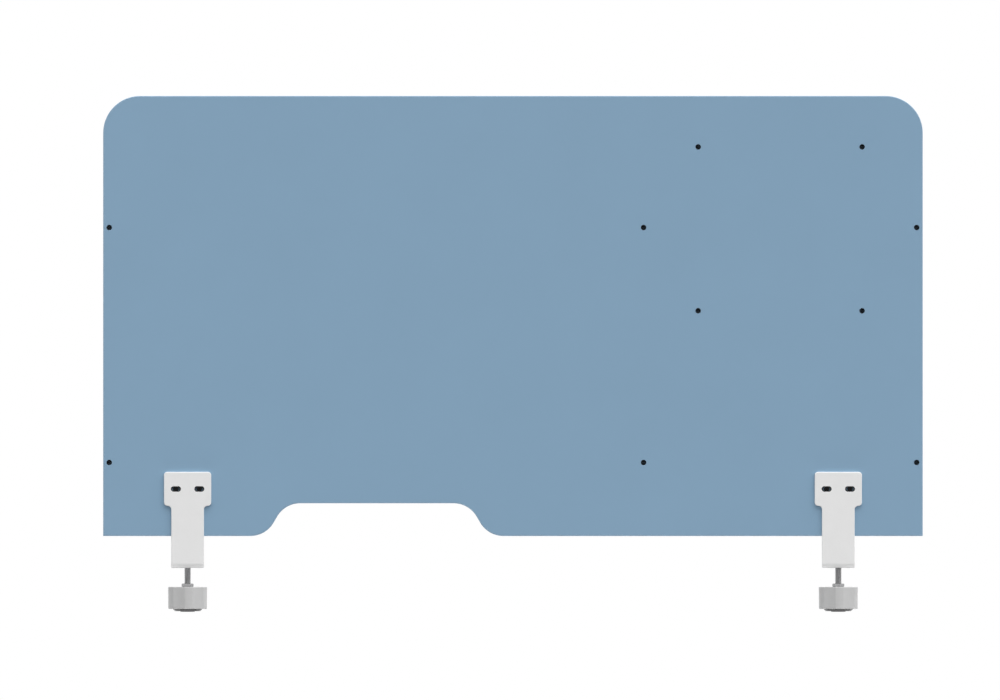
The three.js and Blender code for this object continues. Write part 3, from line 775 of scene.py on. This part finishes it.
def make_cap(side):
    """A disc with a raised boss and a sloped rim, and the plug that holds it in the knob's pocket."""
    node = f"knob_cap_{side}"
    low, high = box_mm(node)
    centre = middle_mm(node)
    radius = (high.x - low.x) / 2
    knob_low = box_mm(f"knob_{side}")[0].z
    disc = low.z + CAP_BOSS_HEIGHT
    corners = [
        (AXIS_RADIUS, low.z, 0), (CAP_BOSS_RADIUS, low.z, 0.6), (CAP_BOSS_RADIUS, disc, 0.25),
        (radius - CAP_TAPER, disc, 0.5), (radius, knob_low - CAP_WALL, 0.5), (radius, knob_low, 0.1),
        (CAP_PLUG_RADIUS, knob_low, 0), (CAP_PLUG_RADIUS, high.z, 0.5), (AXIS_RADIUS, high.z, 0),
    ]
    cap = turned(shaped(corners), 96)
    cap.transform(Matrix.Translation((centre.x, centre.y, 0)))
    piece_from(cap, node, MATERIALS["cap_plastic"])


def make_pad_cup(side):
    """A shallow cup that holds the rubber facing, with a lipped hole underneath for the spindle's button."""
    node = f"pad_cup_{side}"
    low, high = box_mm(node)
    centre = middle_mm(node)
    radius = (high.x - low.x) / 2
    inside = radius - CUP_WALL
    floor = low.z + CUP_FLOOR
    lip = low.z + CUP_LIP
    corners = [
        (CUP_HOLE_RADIUS, low.z, 0.2), (radius, low.z, CUP_BOTTOM_EDGE), (radius, high.z, 0.5),
        (inside, high.z, 0.3), (inside, floor, 0.2), (CUP_SEAT_RADIUS, floor, 0.2),
        (CUP_SEAT_RADIUS, lip, 0), (CUP_HOLE_RADIUS, lip, 0),
    ]
    cup = turned(shaped(corners, closed=True), 96, closed=True)
    cup.transform(Matrix.Translation((centre.x, centre.y, 0)))
    piece_from(cup, node, MATERIALS["zinc_steel"])


def make_pad_rubber(side):
    """The facing has three shallow ring grooves in its top."""
    node = f"pad_rubber_{side}"
    low, high = box_mm(node)
    centre = middle_mm(node)
    radius = (high.x - low.x) / 2
    groove = high.z - GROOVE_DEPTH
    corners = [(AXIS_RADIUS, low.z, 0), (radius, low.z, 0.2), (radius, high.z, 0.6)]
    for ring in (1, 2, 3):
        middle = radius - ring * GROOVE_SPACING
        corners += [(middle + GROOVE_TOP, high.z, 0.15), (middle + GROOVE_BOTTOM, groove, 0.1)]
        corners += [(middle - GROOVE_BOTTOM, groove, 0.1), (middle - GROOVE_TOP, high.z, 0.15)]
    corners.append((AXIS_RADIUS, high.z, 0))
    rubber = turned(shaped(corners), 96)
    rubber.transform(Matrix.Translation((centre.x, centre.y, 0)))
    piece_from(rubber, node, MATERIALS["rubber"])


# Stage, light and camera -------------------------------------------------------------------------------

def make_stage():
    """A pale floor some way under the clamps. It takes shadows, and the room's light comes up through it."""
    half = FLOOR_SIZE / 2
    floor_z = cad_box[0].z - FLOOR_GAP
    mesh = bpy.data.meshes.new("floor")
    corners = [(-half, -half, floor_z), (half, -half, floor_z), (half, half, floor_z), (-half, half, floor_z)]
    mesh.from_pydata(corners, [], [(0, 1, 2, 3)])
    floor = bpy.data.objects.new("floor", mesh)
    bpy.context.scene.collection.objects.link(floor)
    pale = make_material("floor_pale", FLOOR_GREY, (0.7, 0.8), contrast=0.004, patches=3.0)
    floor.data.materials.append(pale)
    floor.visible_diffuse = False
    floor.visible_shadow = False


def make_room():
    """Soft light from above, from behind and straight up from the floor.

    The camera sees plain white in the background.
    """
    world = bpy.data.worlds.new("room")
    bpy.context.scene.world = world
    world.use_nodes = True
    tree = world.node_tree
    output = tree.nodes["World Output"]
    room = tree.nodes["Background"]
    room.inputs["Color"].default_value = (1, 1, 1, 1)
    direction = add_node(tree, "ShaderNodeSeparateXYZ")
    tree.links.new(add_node(tree, "ShaderNodeTexCoord").outputs["Generated"], direction.inputs[0])
    strength = ranged(tree, direction.outputs["Z"], ROOM_BELOW, ROOM_ABOVE, *ABOVE_RAMP)
    behind = ranged(tree, direction.outputs["Y"], 0, ROOM_BEHIND, *BEHIND_RAMP)
    under = ranged(tree, direction.outputs["Z"], ROOM_UNDER, 0, *UNDER_RAMP)
    for extra in (behind, under):
        total = add_node(tree, "ShaderNodeMath", operation="ADD")
        tree.links.new(strength, total.inputs[0])
        tree.links.new(extra, total.inputs[1])
        strength = total.outputs[0]
    tree.links.new(strength, room.inputs["Strength"])
    backdrop = add_node(tree, "ShaderNodeBackground", Color=(1, 1, 1, 1), Strength=1.0)
    seen = add_node(tree, "ShaderNodeLightPath")
    mix = add_node(tree, "ShaderNodeMixShader")
    tree.links.new(seen.outputs["Is Camera Ray"], mix.inputs[0])
    tree.links.new(room.outputs[0], mix.inputs[1])
    tree.links.new(backdrop.outputs[0], mix.inputs[2])
    tree.links.new(mix.outputs[0], output.inputs["Surface"])


def make_key():
    """One very broad light, high up, in front and to the right."""
    key = bpy.data.lights.new("key", "SUN")
    key.energy = KEY_STRENGTH
    key.angle = KEY_WIDTH
    lamp = bpy.data.objects.new("key", key)
    lamp.rotation_euler = (math.pi / 2 - KEY_ELEVATION, 0, KEY_AZIMUTH)
    bpy.context.scene.collection.objects.link(lamp)


def make_camera():
    """Square on to the outer face, without perspective."""
    camera = bpy.data.cameras.new("camera")
    camera.type = "ORTHO"
    camera.ortho_scale = VIEW_WIDTH
    camera.clip_end = 100
    eye = bpy.data.objects.new("camera", camera)
    eye.location = (VIEW_CENTRE[0], -VIEW_DISTANCE, VIEW_CENTRE[1])
    eye.rotation_euler = (math.pi / 2, 0, 0)
    bpy.context.scene.collection.objects.link(eye)
    bpy.context.scene.camera = eye
    bpy.context.scene.view_settings.view_transform = "Standard"


make_camera()
make_room()
make_key()
make_stage()
make_board()
make_bands()
for insert_node in insert_places():
    make_insert(insert_node, MATERIALS["black_steel" if insert_node.startswith("insert_") else "zinc_steel"])
for screw_node in [node for node in NODES if node.startswith("bracket_screw_")]:
    make_screw(screw_node)
for clamp_side in SIDES:
    make_bracket(clamp_side)
    make_nut(f"jaw_nut_{clamp_side}")
    make_nut(f"lock_nut_{clamp_side}", LOCK_NUT_TURN)
    make_nut(f"knob_nut_{clamp_side}")
    make_spindle(clamp_side)
    make_pad_cup(clamp_side)
    make_pad_rubber(clamp_side)
    make_knob(clamp_side)
    make_cap(clamp_side)
